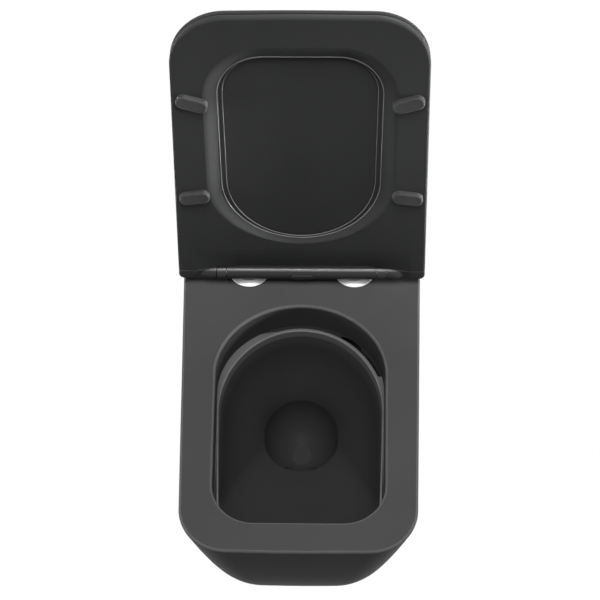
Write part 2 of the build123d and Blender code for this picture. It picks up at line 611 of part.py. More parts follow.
def make_button_spring():
    """Bowed leaf spring between the button's tail and the back of the bar."""
    rear = SPRING_SEAT_Y - RUNNING
    crown = TAIL_END_Y + RUNNING
    outer = SPRING_HALF
    inner = SPRING_HALF - 2 * SPRING_SHEET
    with BuildSketch() as strip:
        with BuildLine():
            ThreePointArc((-outer, rear), (0, crown), (outer, rear))
            Line((outer, rear), (inner, rear))
            ThreePointArc((inner, rear), (0, crown + SPRING_SHEET), (-inner, rear))
            Line((-inner, rear), (-outer, rear))
        make_face()
    return slab(strip.sketch.face(), TAIL_LOW_Z, TAIL_TOP_Z)


def make_latch(side):
    """Flat latch whose hollow tip grips a post's neck; its pin rides in the button's tail."""
    tip = POST_SPACING / 2 - POST_NECK_R + LATCH_BITE
    high = RIM_Z + POST_TOP
    window_y = (POST_Y - LATCH_WINDOW_HALF, POST_Y + LATCH_WINDOW_HALF)
    plate = box((LATCH_INNER, tip), (POST_Y - LATCH_HALF_DEPTH, POST_Y + LATCH_HALF_DEPTH),
                (RIM_Z + LATCH_LOW, RIM_Z + LATCH_HIGH))
    plate -= along_z(POST_NECK_R + EASE, RIM_Z, high, POST_SPACING / 2, POST_Y)
    plate -= box(LATCH_WINDOW, window_y, (RIM_Z, high))
    plate += along_z(PIN_R, RIM_Z + LATCH_HIGH, TAIL_TOP_Z, PIN_X, POST_Y)
    return plate if side > 0 else plate.mirror(Plane.YZ)


def panel_outline():
    """Shared plan of the seat and the lid, with small rear corners."""
    ends = (front(-EAR_BACK), front(SEAT_FRONT))
    face = tapered_outline(*ends, SEAT_REAR_HALF, SEAT_FRONT_HALF, SEAT_CORNER_R)
    corners = face.vertices().sort_by(Axis.Y)[-2:]
    return fillet(corners, REAR_CORNER_R).face()


def panel(low, thick, edge_r):
    """A flat panel with rounded lower and upper edges."""
    plate = slab(panel_outline(), low, low + thick)
    plate = fillet(plate.faces().sort_by(Axis.Z)[0].edges(), edge_r[0])
    return fillet(plate.faces().sort_by(Axis.Z)[-1].edges(), edge_r[1])


def seat_opening(grow=0.0, rear_share=1.0):
    """Outline of the hole in the seat, grown all round, at the rear by a share of that."""
    rear = SEAT_OPEN_REAR + (1 - rear_share) * grow
    return arch_outline(SEAT_OPEN_HALF, rear, SEAT_OPEN_MID, SEAT_OPEN_FRONT, SEAT_OPEN_FRONT_HALF,
                        SEAT_OPEN_CORNER_R, grow)


def underside_slope(low):
    """What the slope round the hole takes from the seat's underside."""
    rise = SEAT_THICK - SEAT_LIP
    levels = [at_height(seat_opening(SEAT_SLOPE, SLOPE_REAR), low - SKIN)]
    for wide, up in SLOPE_CURVE:
        levels.append(at_height(seat_opening(SEAT_SLOPE * wide, SLOPE_REAR), low + rise * up))
    levels.append(at_height(seat_opening(), low + rise))
    return loft(levels)


def rear_thinning(low):
    """What the seat's underside loses towards the bar, running out beside the knuckles."""
    start, rear, end = front(REAR_EDGE + REAR_THIN_RUN), front(REAR_EDGE), front(-EAR_BACK - PAST)
    stations = ((REAR_THIN_INNER, REAR_THIN), (REAR_THIN_OUTER, SKIN))
    sections = []
    for x, depth in [(-x, depth) for x, depth in stations[::-1]] + list(stations):
        with BuildSketch(Plane.YZ.offset(x)) as view:
            with BuildLine():
                steep = 2 * depth / REAR_THIN_RUN
                Spline((start, low - SKIN), (rear, low + depth), tangents=[(1, 0), (1, steep)])
                Polyline((rear, low + depth), (end, low + depth), (end, low - PAST), (start, low - PAST),
                         (start, low - SKIN))
            make_face()
        sections.append(view.sketch.face())
    return loft(sections, ruled=True)


def seat_knuckle(side):
    """Tapered boss that runs out into the seat's underside."""
    inner, outer = SEAT_KNUCKLE
    shoulder = inner + KNUCKLE_ROUND
    with BuildSketch(Plane.XY) as view:
        with BuildLine():
            Polyline((inner, 0), (inner, BARREL_R), (shoulder, BARREL_R))
            Spline((shoulder, BARREL_R), (outer, KNUCKLE_TIP_R), tangents=[(1, 0), (1, -KNUCKLE_FALL)])
            Polyline((outer, KNUCKLE_TIP_R), (outer, 0), (inner, 0))
        make_face()
    boss = Pos(0, HINGE_Y, HINGE_Z) * revolve(view.sketch, Axis.X)
    return boss if side > 0 else boss.mirror(Plane.YZ)


def hinge_gap(half, low, thick):
    """Room for the hinge bar between a panel's rear corners."""
    return box((-half, half), (front(REAR_EDGE), front(-EAR_BACK - PAST)), (low - PAST, low + thick + PAST))


def closed_seat():
    """The seat lying flat: ring, underside slope, hinge gap and knuckles."""
    low = RIM_Z + SEAT_LIFT
    ring = panel(low, SEAT_THICK, SEAT_EDGE_R)
    ring -= underside_slope(low)
    ring -= slab(seat_opening(), low - PAST, low + SEAT_THICK + PAST)
    ring -= hinge_gap(SEAT_KNUCKLE[0] - END_PLAY, low, SEAT_THICK)
    ring -= rear_thinning(low)
    ring += seat_knuckle(-1) + seat_knuckle(1)
    ring -= keyed(-SHAFT_OUTER - END_PLAY, -SEAT_KNUCKLE[0] + PAST, RUNNING)
    return ring - along_x(BUSH_R, SEAT_KNUCKLE[0] - PAST, SHAFT_OUTER + END_PLAY)


def closed_buffer(seat, x, reach, tilt, side):
    """Oval rubber buffer, shaped on top to the seat's underside."""
    low = RIM_Z + BUFFER_GAP
    plan = Pos(side * x, front(reach)) * Rot(0, 0, -side * tilt) * SlotOverall(BUFFER_LONG, BUFFER_WIDE)
    pad = slab(plan, low, RIM_Z + SEAT_LIFT + BUFFER_SUNK)
    pad = fillet(pad.faces().sort_by(Axis.Z)[0].edges(), BUFFER_EDGE_R)
    return pad - seat


def lid_low():
    """Underside of the closed lid."""
    return RIM_Z + SEAT_LIFT + SEAT_THICK + LID_GAP


def closed_lid():
    """The lid lying flat: dished panel, rear ears and two knuckles."""
    low = lid_low()
    plate = panel(low, LID_THICK, LID_EDGE_R)
    plate -= hinge_gap(EAR_INNER, low, LID_THICK)
    levels = [at_height(seat_opening(DISH_EDGE), low - SKIN)]
    levels += [at_height(seat_opening(grow), low + LID_DISH * deep) for grow, deep in DISH_CURVE]
    plate -= loft(levels)
    for side in (-1, 1):
        ends = sorted(side * end for end in LID_KNUCKLE)
        plate += along_x(BARREL_R, ends[0], ends[1])
        plate += box(ends, (front(REAR_EDGE + LID_ARM), HINGE_Y), (low, low + LID_THICK - LID_ARM_THIN))
    plate -= keyed(LID_KNUCKLE[0] - PAST, LID_KNUCKLE[1] + PAST, RUNNING)
    return plate - along_x(BUSH_R, -LID_KNUCKLE[1] - PAST, -LID_KNUCKLE[0] + PAST)


def closed_lid_buffers():
    """Thin pads under the lid that meet the seat ring."""
    high = lid_low()
    pads = []
    for x, reach in LID_PADS:
        for side in (-1, 1):
            pads.append(along_z(LID_PAD_R, high - LID_GAP + BUFFER_GAP, high, side * x, front(reach)))
    return Compound(children=pads)


def raised(shape):
    """A closed piece swung up about the hinge axis."""
    return shape.rotate(HINGE_AXIS, -RAISED_DEG)


def make_parts():
    """Every piece by node name, in place."""
    seat = closed_seat()
    parts = {
        "pan": make_pan(),
        "side_screws": make_side_screws(),
        "side_caps": make_side_caps(),
        "rosette_gaskets": make_rosette_gaskets(),
        "hinge_studs": make_hinge_studs(),
        "deck_plugs": make_deck_plugs(),
        "plug_nuts": make_plug_nuts(),
        "hinge_bar": make_hinge_bar(),
        "bar_cover": make_bar_cover(),
        "cover_screws": make_cover_screws(),
        "seat_damper": make_damper(-1),
        "lid_damper": make_damper(1),
        "release_button": make_release_button(),
        "button_spring": make_button_spring(),
        "seat": raised(seat),
        "seat_shaft": raised(make_seat_shaft()),
        "seat_bush": raised(make_bush(SEAT_KNUCKLE[0], SHAFT_OUTER + END_PLAY, SHAFT_R - KEY_STEP + RUNNING)),
        "lid": raised(closed_lid()),
        "lid_buffers": raised(closed_lid_buffers()),
        "lid_shaft": raised(make_lid_shaft()),
        "lid_bush": raised(make_bush(-LID_KNUCKLE[1], -LID_KNUCKLE[0], SHAFT_R + RUNNING)),
    }
    for side, hand in ((-1, "left"), (1, "right")):
        parts["wall_bracket_" + hand] = make_wall_bracket(side)
        parts["rosette_" + hand] = make_rosette(side)
        parts["hinge_post_" + hand] = make_post(side)
        parts["latch_" + hand] = make_latch(side)
        for (x, reach, tilt), end in zip(BUFFERS, ("front", "rear")):
            parts["seat_buffer_" + end + "_" + hand] = raised(closed_buffer(seat, x, reach, tilt, side))
    return parts


def main():
    """Writes each piece to its own file."""
    os.makedirs("parts", exist_ok=True)
    for name, shape in make_parts().items():
        export_step(shape, "parts/" + name + ".step")


if __name__ == "__main__":
    main()
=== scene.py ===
"""Looks of a wall hung toilet: finishes, fine pieces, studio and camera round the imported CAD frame."""

from __future__ import annotations

import logging
import math
from abc import ABC, abstractmethod
from dataclasses import dataclass, field
from enum import Enum
from typing import Any, Union

import bpy
from mathutils import Matrix, Vector

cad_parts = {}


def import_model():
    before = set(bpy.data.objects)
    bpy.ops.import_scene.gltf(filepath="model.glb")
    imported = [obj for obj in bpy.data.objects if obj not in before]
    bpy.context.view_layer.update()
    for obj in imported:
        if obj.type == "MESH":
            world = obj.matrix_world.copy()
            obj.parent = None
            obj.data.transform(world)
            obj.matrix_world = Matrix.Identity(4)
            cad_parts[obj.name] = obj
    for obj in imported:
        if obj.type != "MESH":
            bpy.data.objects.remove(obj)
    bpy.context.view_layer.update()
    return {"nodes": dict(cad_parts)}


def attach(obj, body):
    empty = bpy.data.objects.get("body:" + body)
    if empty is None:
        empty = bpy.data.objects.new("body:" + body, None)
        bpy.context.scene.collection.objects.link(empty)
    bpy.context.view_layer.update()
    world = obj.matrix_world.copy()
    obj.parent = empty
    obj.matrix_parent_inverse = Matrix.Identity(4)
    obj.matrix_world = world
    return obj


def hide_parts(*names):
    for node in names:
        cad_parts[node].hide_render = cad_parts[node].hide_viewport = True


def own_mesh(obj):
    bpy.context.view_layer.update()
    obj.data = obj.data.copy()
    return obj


LOG = logging.getLogger("toilet")

Colour = tuple[float, float, float]
Point = tuple[float, float, float]
Stops = tuple[tuple[float, float], ...]
Operand = Union["Value", float]
Tint = Union["Value", Colour]

BLACK: Colour = (0.0, 0.0, 0.0)
WHITE: Colour = (1.0, 1.0, 1.0)
UP = Vector((0.0, 0.0, 1.0))

# A point on the axis of seat and lid, and the place of the hinge posts, in metres.
HINGE = Vector((0.0, -0.1, 0.096))
POST_HALF = 0.0775
POST_DEPTH = -0.088


class Maths(Enum):
    """Operations of a Math node that the finishes use."""

    ADD = "ADD"
    SUBTRACT = "SUBTRACT"
    MULTIPLY = "MULTIPLY"
    DIVIDE = "DIVIDE"
    POWER = "POWER"
    ABSOLUTE = "ABSOLUTE"
    SINE = "SINE"
    GREATER = "GREATER_THAN"
    LESS = "LESS_THAN"


class Axis(Enum):
    """Axes of the frame: to the right, to the wall and up."""

    X = 0
    Y = 1
    Z = 2


class Side(Enum):
    """Hand of a paired piece, seen by someone facing the pan."""

    LEFT = "left"
    RIGHT = "right"

    @property
    def sign(self) -> float:
        """Minus one on the left, one on the right."""
        return 1.0 if self is Side.RIGHT else -1.0

    @classmethod
    def pair(cls, stem: str) -> list[str]:
        """Names of the left and right node of a paired piece."""
        return [f"{stem}_{side.value}" for side in cls]


class Row(Enum):
    """Where a pair of feet stands under the seat."""

    FRONT = "front"
    REAR = "rear"


class Body(Enum):
    """CAD bodies that carry fine pieces."""

    PAN = "pan_body"
    SEAT = "seat_body"


class Slot(Enum):
    """The record's material slots of the fine pieces."""

    CHINA = "china"
    SEAT = "seat_plastic"
    RUBBER = "buffer_rubber"
    ZINC = "zinc_steel"
    SPRING = "spring_steel"


def grey(level: float) -> Colour:
    """A colour without a hue."""
    return (level, level, level)


def opaque(colour: Colour) -> tuple[float, float, float, float]:
    """A colour as a socket takes it, with its alpha."""
    return (*colour, 1.0)


class Value:
    """A socket that varies over a surface and takes part in Python's arithmetic."""

    def __init__(self, graph: "Graph", socket: bpy.types.NodeSocket) -> None:
        """Keeps the socket and the graph that it belongs to."""
        self.graph = graph
        self.socket = socket

    def _math(self, operation: Maths, first: Operand, second: Operand = 0.0) -> "Value":
        """Adds one Math node and gives its result."""
        return self.graph.add("ShaderNodeMath", {"operation": operation.value}, {0: first, 1: second})

    def __add__(self, other: Operand) -> "Value":
        """Sum."""
        return self._math(Maths.ADD, self, other)

    def __radd__(self, other: float) -> "Value":
        """Sum, with the number first."""
        return self._math(Maths.ADD, other, self)

    def __sub__(self, other: Operand) -> "Value":
        """Difference."""
        return self._math(Maths.SUBTRACT, self, other)

    def __rsub__(self, other: float) -> "Value":
        """Difference, with the number first."""
        return self._math(Maths.SUBTRACT, other, self)

    def __mul__(self, other: Operand) -> "Value":
        """Product."""
        return self._math(Maths.MULTIPLY, self, other)

    def __rmul__(self, other: float) -> "Value":
        """Product, with the number first."""
        return self._math(Maths.MULTIPLY, other, self)

    def __truediv__(self, other: Operand) -> "Value":
        """Quotient."""
        return self._math(Maths.DIVIDE, self, other)

    def __rtruediv__(self, other: float) -> "Value":
        """Quotient, with the number first."""
        return self._math(Maths.DIVIDE, other, self)

    def __pow__(self, other: Operand) -> "Value":
        """Power."""
        return self._math(Maths.POWER, self, other)

    def __abs__(self) -> "Value":
        """Size without its sign."""
        return self._math(Maths.ABSOLUTE, self)

    def __gt__(self, other: Operand) -> "Value":
        """One where this is the greater, nought elsewhere."""
        return self._math(Maths.GREATER, self, other)

    def __lt__(self, other: Operand) -> "Value":
        """One where this is the less, nought elsewhere."""
        return self._math(Maths.LESS, self, other)

    def wave(self) -> "Value":
        """Sine of an angle in radians, moved to run from nought to one."""
        return self._math(Maths.SINE, self) * 0.5 + 0.5

    def blend(self, other: "Value", share: float) -> "Value":
        """This value with a share of another in its place."""
        return self * (1.0 - share) + other * share


class Graph:
    """The node tree of one material or of the world.

    A Mix node's sockets for numbers, vectors and colours share their names, so its colours go by place.
    """

    MIX_SHARE, MIX_LOW, MIX_HIGH, MIX_RESULT = 0, 6, 7, 2

    def __init__(self, tree: bpy.types.NodeTree) -> None:
        """Empties the tree."""
        self.tree = tree
        tree.nodes.clear()

    def add(
        self,
        kind: str,
        settings: dict[str, Any] | None = None,
        sockets: dict[int | str, Any] | None = None,
        output: int | str = 0,
    ) -> Value:
        """Adds a node of any kind.

        Args:
            kind: The node's type.
            settings: Its properties, set first; "stops" holds a ramp's places and grey levels.
            sockets: Numbers, colours or other values for its inputs.
            output: Which of its outputs is wanted.

        Returns:
            That output, or the first input of a node that has no outputs.
        """
        node = self.tree.nodes.new(kind)
        for name, setting in (settings or {}).items():
            if name == "stops":
                self._set_stops(node.color_ramp.elements, setting)
            else:
                setattr(node, name, setting)
        for key, wanted in (sockets or {}).items():
            if isinstance(wanted, Value):
                self.tree.links.new(wanted.socket, node.inputs[key])
            else:
                node.inputs[key].default_value = wanted
        return Value(self, node.outputs[output] if node.outputs else node.inputs[0])

    @staticmethod
    def _set_stops(elements: Any, stops: Stops) -> None:
        """Gives a ramp its stops.

        Args:
            elements: The ramp's elements.
            stops: Pairs of a place and a grey level.
        """
        while len(elements) < len(stops):
            elements.new(1.0)
        for element, (place, level) in zip(elements, stops):
            element.position = place
            element.color = opaque(grey(level))

    def place(self) -> Value:
        """The point in the piece's own frame, in metres."""
        return self.add("ShaderNodeTexCoord", output="Object")

    def along(self, axis: Axis) -> Value:
        """One coordinate of the point, in metres."""
        return self.add("ShaderNodeSeparateXYZ", {}, {0: self.place()}, axis.value)

    def stretched(self, scale: Point) -> Value:
        """The point with its axes scaled, for grain that runs one way."""
        return self.add("ShaderNodeVectorMath", {"operation": "MULTIPLY"}, {0: self.place(), 1: scale})

    def noise(self, scale: float, detail: float, where: Value | None = None) -> Value:
        """Soft random patches.

        Args:
            scale: Patches in a metre.
            detail: How many finer layers are added.
            where: The point to read at, or the piece's own.

        Returns:
            A number about one half.
        """
        sockets = {"Vector": where or self.place(), "Scale": scale, "Detail": detail}
        return self.add("ShaderNodeTexNoise", {}, sockets)

    def cells(self, scale: float, output: str) -> Value:
        """Random cells, so many in a metre: the distance to a cell's middle, or its colour."""
        return self.add("ShaderNodeTexVoronoi", {}, {"Vector": self.place(), "Scale": scale}, output)

    def ramp(self, value: Value, stops: Stops) -> Value:
        """A number remapped through grey stops."""
        return self.add("ShaderNodeValToRGB", {"stops": stops}, {0: value})

    def mix(self, share: Value, low: Tint, high: Tint) -> Value:
        """A colour between two others.

        Args:
            share: Nought for the first, one for the second.
            low: The first colour.
            high: The second colour.

        Returns:
            The blended colour.
        """
        sockets = {self.MIX_SHARE: share}
        for key, tint in ((self.MIX_LOW, low), (self.MIX_HIGH, high)):
            sockets[key] = tint if isinstance(tint, Value) else opaque(tint)
        return self.add("ShaderNodeMix", {"data_type": "RGBA"}, sockets, self.MIX_RESULT)

    def bump(self, height: Value, depth: float) -> Value:
        """The normal tilted by a relief from nought to one, of a depth in metres."""
        sockets = {"Strength": 1.0, "Distance": depth, "Height": height}
        return self.add("ShaderNodeBump", {}, sockets, "Normal")

    def surface(self, sockets: dict[str, Any]) -> None:
        """Ends the graph in a Principled shader."""
        shader = self.add("ShaderNodeBsdfPrincipled", {}, sockets)
        self.add("ShaderNodeOutputMaterial", {}, {"Surface": shader})


@dataclass(frozen=True)
class Finish:
    """A finish of two tones, with a gloss that drifts between two values and a fine relief.

    Attributes:
        name: The material's name.
        dark: The darker tone.
        light: The lighter tone.
        gloss: Lowest and highest roughness.
        specular: Strength of the mirror image.
        patch: Patches of tone in a metre.
        grain: Grains in a metre.
        relief: Height of the grain in metres.
        patch_detail: Finer layers in the patches.
        grain_detail: Finer layers in the grain.
    """

    name: str
    dark: Colour
    light: Colour
    gloss: tuple[float, float]
    specular: float = 0.5
    patch: float = 9.0
    grain: float = 900.0
    relief: float = 0.00002
    patch_detail: float = 3.0
    grain_detail: float = 2.0

    def material(self) -> bpy.types.Material:
        """Makes the Blender material.

        Returns:
            The new material.
        """
        made = bpy.data.materials.new(self.name)
        made.use_nodes = True
        made.diffuse_color = opaque(self.light)
        self.shade(Graph(made.node_tree))
        return made

    def shade(self, graph: Graph) -> None:
        """Fills the material's graph.

        Args:
            graph: The graph, empty so far.
        """
        drift = graph.noise(self.patch, self.patch_detail)
        grain = graph.noise(self.grain, self.grain_detail)
        graph.surface(self.sockets(graph, drift, grain, grain))

    def sockets(self, graph: Graph, tone: Value, sheen: Value, height: Value) -> dict[str, Any]:
        """The shader's inputs from three patterns.

        Args:
            graph: The material's graph.
            tone: Share of the light tone.
            sheen: Share of the rougher gloss.
            height: Relief.

        Returns:
            Inputs by name.
        """
        low, high = self.gloss
        return {
            "Base Color": graph.mix(tone, self.dark, self.light),
            "Roughness": low + sheen * (high - low),
            "Specular IOR Level": self.specular,
            "Normal": graph.bump(height, self.relief),
        }


@dataclass(frozen=True)
class BowlZone:
    """Where the bowl's inside lies in the pan; it narrows and shortens as it goes down.

    Attributes:
        top: Height at which the bowl begins.
        fade: Depth over which its painted shade and its coat set in.
        floor: Its lowest height.
        half: Half its width at height nought.
        narrowing: Loss of half width for each metre down.
        front: Its front end at height nought.
        shortening: Loss of length for each metre down.
        rear: Its rear end.
        lip_low: Lowest height of the shelf that the water runs over.
        lip_high: Highest height of that shelf.
    """

    top: float = 0.026
    fade: float = 0.025
    floor: float = -0.145
    half: float = 0.1215
    narrowing: float = 0.35
    front: float = -0.487
    shortening: float = 0.5
    rear: float = -0.149
    lip_low: float = 0.02
    lip_high: float = 0.0305

    def inside(self, graph: Graph) -> Value:
        """Share of the bowl's inside.

        Args:
            graph: The material's graph.

        Returns:
            One inside the bowl, fading to nought at its edge, and nought elsewhere.
        """
        across, deep, height = (graph.along(axis) for axis in Axis)
        deeper = graph.ramp((self.top - height) / self.fade, ((0.0, 0.0), (1.0, 1.0)))
        wide = abs(across) < (height * self.narrowing + self.half)
        long = ((deep + height * self.shortening) > self.front) * (deep < self.rear)
        return (height > self.floor) * deeper * wide * long

    def lip(self, graph: Graph) -> Value:
        """Share of the shelf over which the bowl is flushed.

        Args:
            graph: The material's graph.

        Returns:
            One on the shelf, nought elsewhere.
        """
        across, deep, height = (graph.along(axis) for axis in Axis)
        level = (height > self.lip_low) * (height < self.lip_high)
        return level * (abs(across) < self.half) * (deep > self.front) * (deep < self.rear)


@dataclass(frozen=True)
class MattGlaze(Finish):
    """Matt glaze on china with slow pooling, orange peel and pinholes.

    On the deck's edge its colour holds a painted highlight and on the shelf painted light; in the bowl it
    holds painted shade under a glossier coat.
    """

    fineness: float = 5.0
    fine_detail: float = 1.0
    pinholes: float = 260.0
    pinhole_size: float = 0.07
    pooling_tone: float = 0.8
    fine_tone: float = 0.3
    pinhole_tone: float = 0.25
    peel_sheen: float = 0.5
    fine_relief: float = 0.25
    pinhole_relief: float = 0.6
    zone: BowlZone = BowlZone()
    # Painted shade: how far the colour of the bowl's inside is darkened.
    bowl_painted_shade: float = 0.5
    bowl_coat: float = 0.12
    coat_roughness: float = 0.24
    # Painted light: a lighter tone on the shelf against the shade of its recess, and a painted highlight on
    # the deck's rounded edge.
    painted_light_tone: Colour = (0.125, 0.125, 0.126)
    shelf_painted_light: float = 0.6
    edge_painted_highlight: float = 0.5
    edge_low: float = 0.0768
    edge_high: float = 0.0799

    def shade(self, graph: Graph) -> None:
        """Fills the material's graph.

        Args:
            graph: The graph, empty so far.
        """
        pooling = graph.noise(self.patch, self.patch_detail)
        peel = graph.noise(self.grain, self.grain_detail)
        fine = graph.noise(self.grain * self.fineness, self.fine_detail)
        pin = graph.ramp(graph.cells(self.pinholes, "Distance"), ((0.0, 1.0), (self.pinhole_size, 0.0)))
        tone = pooling * self.pooling_tone + fine * self.fine_tone - pin * self.pinhole_tone
        relief = peel.blend(fine, self.fine_relief) - pin * self.pinhole_relief
        sockets = self.sockets(graph, tone, pooling.blend(peel, self.peel_sheen), relief)
        bowl = self.zone.inside(graph)
        # Painted light on the shelf and a painted highlight along the deck's edge.
        glaze = graph.mix(self._painted_light_share(graph), sockets["Base Color"], self.painted_light_tone)
        # Painted shade: the bowl's inside is darkened towards black.
        sockets["Base Color"] = graph.mix(bowl * self.bowl_painted_shade, glaze, BLACK)
        sockets["Coat Weight"] = bowl * self.bowl_coat
        sockets["Coat Roughness"] = self.coat_roughness
        graph.surface(sockets)

    def _painted_light_share(self, graph: Graph) -> Value:
        """Share of the lighter tone: painted light on the shelf and a painted highlight along the deck's
        edge.

        Args:
            graph: The material's graph.

        Returns:
            The share.
        """
        height = graph.along(Axis.Z)
        edge = (height > self.edge_low) * (height < self.edge_high)
        return self.zone.lip(graph) * self.shelf_painted_light + edge * self.edge_painted_highlight


@dataclass(frozen=True)
class MouldedPlastic(Finish):
    """Moulded plastic: a spark eroded grain with faint flow bands, polished on the crest of a hinge."""

    bands: float = 14.0
    band_stretch: Point = (1.0, 0.35, 0.35)
    coarseness: float = 0.3
    coarse_detail: float = 1.0
    grain_tone: float = 0.3
    coarse_sheen: float = 0.6
    coarse_relief: float = 0.3
    polish: float = 0.0
    polish_reach: float = 0.0125
    polish_rise: float = 0.8
    polish_full: float = 0.8
    coat_roughness: float = 0.36
    coat_ior: float = 2.4

    def shade(self, graph: Graph) -> None:
        """Fills the material's graph.

        Args:
            graph: The graph, empty so far.
        """
        flow = graph.noise(self.bands, self.grain_detail, graph.stretched(self.band_stretch))
        grain = graph.noise(self.grain, self.grain_detail)
        coarse = graph.noise(self.grain * self.coarseness, self.coarse_detail)
        tone = flow.blend(grain, self.grain_tone)
        sheen = flow.blend(coarse, self.coarse_sheen)
        sockets = self.sockets(graph, tone, sheen, grain.blend(coarse, self.coarse_relief))
        if self.polish:
            sockets["Coat Weight"] = self._crest(graph) * self.polish
            sockets["Coat Roughness"] = self.coat_roughness
            sockets["Coat IOR"] = self.coat_ior
        graph.surface(sockets)

    def _crest(self, graph: Graph) -> Value:
        """Share of the polish on what lies close above the hinge's axis.

        Args:
            graph: The material's graph.

        Returns:
            One on the crest, fading to nought down its sides.
        """
        deep = graph.along(Axis.Y) - HINGE.y
        high = graph.along(Axis.Z) - HINGE.z
        radius = (deep * deep + high * high) ** 0.5
        rise = (high / radius - self.polish_rise) / (1.0 - self.polish_rise)
        return (radius < self.polish_reach) * graph.ramp(rise, ((0.0, 0.0), (self.polish_full, 1.0)))


@dataclass(frozen=True)
class SoftRubber(Finish):
    """Rubber: a dusty bloom in patches over a fine pitted skin."""

    patch_detail: float = 4.0
    bloom: float = 1.4

    def shade(self, graph: Graph) -> None:
        """Fills the material's graph.

        Args:
            graph: The graph, empty so far.
        """
        dust = graph.noise(self.patch, self.patch_detail)
        pits = graph.cells(self.grain, "Distance")
        graph.surface(self.sockets(graph, dust * dust * self.bloom, dust, pits))


@dataclass(frozen=True)
class Metal(Finish):
    """Metal with a faint tarnish and a fine grain."""

    def sockets(self, graph: Graph, tone: Value, sheen: Value, height: Value) -> dict[str, Any]:
        """The shader's inputs, as for any finish but metallic."""
        return {**super().sockets(graph, tone, sheen, height), "Metallic": 1.0}


@dataclass(frozen=True)
class LappedChrome(Metal):
    """Chrome plate with hairline rings round the hinge posts."""

    rings: float = 9000.0
    haze_sheen: float = 0.6

    def shade(self, graph: Graph) -> None:
        """Fills the material's graph.

        Args:
            graph: The graph, empty so far.
        """
        across = abs(graph.along(Axis.X)) - POST_HALF
        deep = graph.along(Axis.Y) - POST_DEPTH
        radius = (across * across + deep * deep) ** 0.5
        rings = (radius * self.rings).wave()
        haze = graph.noise(self.patch, self.patch_detail)
        graph.surface(self.sockets(graph, haze, rings.blend(haze, self.haze_sheen), rings))


@dataclass(frozen=True)
class TurnedMetal(Metal):
    """Metal turned on a lathe: fine rings along one axis."""

    axis: Axis = Axis.Z
    rings: float = 7000.0
    haze_sheen: float = 0.5

    def shade(self, graph: Graph) -> None:
        """Fills the material's graph.

        Args:
            graph: The graph, empty so far.
        """
        rings = (graph.along(self.axis) * self.rings).wave()
        haze = graph.noise(self.patch, self.patch_detail)
        graph.surface(self.sockets(graph, haze, rings.blend(haze, self.haze_sheen), rings))


@dataclass(frozen=True)
class ZincPlate(Metal):
    """Zinc plate: small crystals that differ in tone and gloss."""

    patch_detail: float = 4.0
    crystals: float = 180.0
    haze_tone: float = 0.5

    def shade(self, graph: Graph) -> None:
        """Fills the material's graph.

        Args:
            graph: The graph, empty so far.
        """
        crystal = graph.add("ShaderNodeSeparateColor", {}, {0: graph.cells(self.crystals, "Color")})
        tone = crystal.blend(graph.noise(self.patch, self.patch_detail), self.haze_tone)
        graph.surface(self.sockets(graph, tone, tone, graph.noise(self.grain, self.grain_detail)))


@dataclass(frozen=True)
class RolledSteel(Metal):
    """Rolled strip: grain drawn out along the strip, with its own count in a metre on each axis."""

    draw: Point = (40.0, 1500.0, 1500.0)

    def shade(self, graph: Graph) -> None:
        """Fills the material's graph with one drawn grain."""
        grain = graph.noise(1.0, self.patch_detail, graph.stretched(self.draw))
        graph.surface(self.sockets(graph, grain, grain, grain))


CHINA = MattGlaze(
    "china", dark=(0.04, 0.04, 0.0405), light=(0.061, 0.061, 0.0615), gloss=(0.46, 0.58),
    specular=0.03, patch=7.0, grain=420.0,
)
# Painted highlight: a light grey for the roll along the bowl's shelf.
PAINTED_HIGHLIGHT_GLAZE = Finish(
    "painted_highlight_glaze", dark=grey(0.095), light=grey(0.14), gloss=(0.34, 0.44),
    specular=0.3, patch=30.0, grain=420.0, relief=0.00001,
)
# Painted shade: the seat takes the lid's plastic in darker tones.
SHADED_SEAT_PLASTIC = MouldedPlastic(
    "seat_plastic", dark=(0.0235, 0.024, 0.024), light=(0.0335, 0.034, 0.034), gloss=(0.42, 0.52),
    specular=0.05, grain=1600.0, relief=0.000008, polish=0.9,
)
LID_PLASTIC = MouldedPlastic(
    "lid_plastic", dark=(0.029, 0.0295, 0.0295), light=(0.0415, 0.042, 0.042), gloss=(0.42, 0.52),
    specular=0.05, grain=1600.0, relief=0.000008, polish=0.9,
)
BAR_PLASTIC = MouldedPlastic(
    "bar_plastic", dark=(0.022, 0.022, 0.023), light=(0.033, 0.033, 0.034), gloss=(0.3, 0.4),
    specular=0.08, grain=1600.0, relief=0.000006, polish=1.0,
)
BUTTON_PLASTIC = MouldedPlastic(
    "button_plastic", dark=(0.028, 0.028, 0.029), light=(0.04, 0.04, 0.041), gloss=(0.36, 0.46),
    specular=0.12, grain=1600.0, relief=0.000006,
)
# Painted highlight: a light grey, with a high gloss, for the beads round the seat's hole.
GLOSSY_PAINTED_HIGHLIGHT = MouldedPlastic(
    "glossy_painted_highlight", dark=grey(0.14), light=grey(0.18), gloss=(0.18, 0.26),
    specular=0.7, grain=1600.0, relief=0.000002,
)
BUFFER_RUBBER = SoftRubber(
    "buffer_rubber", dark=(0.022, 0.022, 0.023), light=grey(0.04), gloss=(0.45, 0.62),
    specular=0.3, patch=60.0, relief=0.00001,
)
FOOT_RIM = SoftRubber(
    "foot_rim", dark=(0.026, 0.026, 0.027), light=grey(0.04), gloss=(0.4, 0.55),
    specular=0.2, patch=60.0, relief=0.00001,
)
PLUG_RUBBER = SoftRubber(
    "plug_rubber", dark=grey(0.03), light=(0.075, 0.075, 0.072), gloss=(0.6, 0.8),
    specular=0.3, patch=70.0, grain=700.0, relief=0.00003,
)
CHROME = LappedChrome(
    "rosette_chrome", dark=(0.78, 0.78, 0.79), light=grey(0.86), gloss=(0.5, 0.6),
    patch=40.0, relief=0.000002,
)
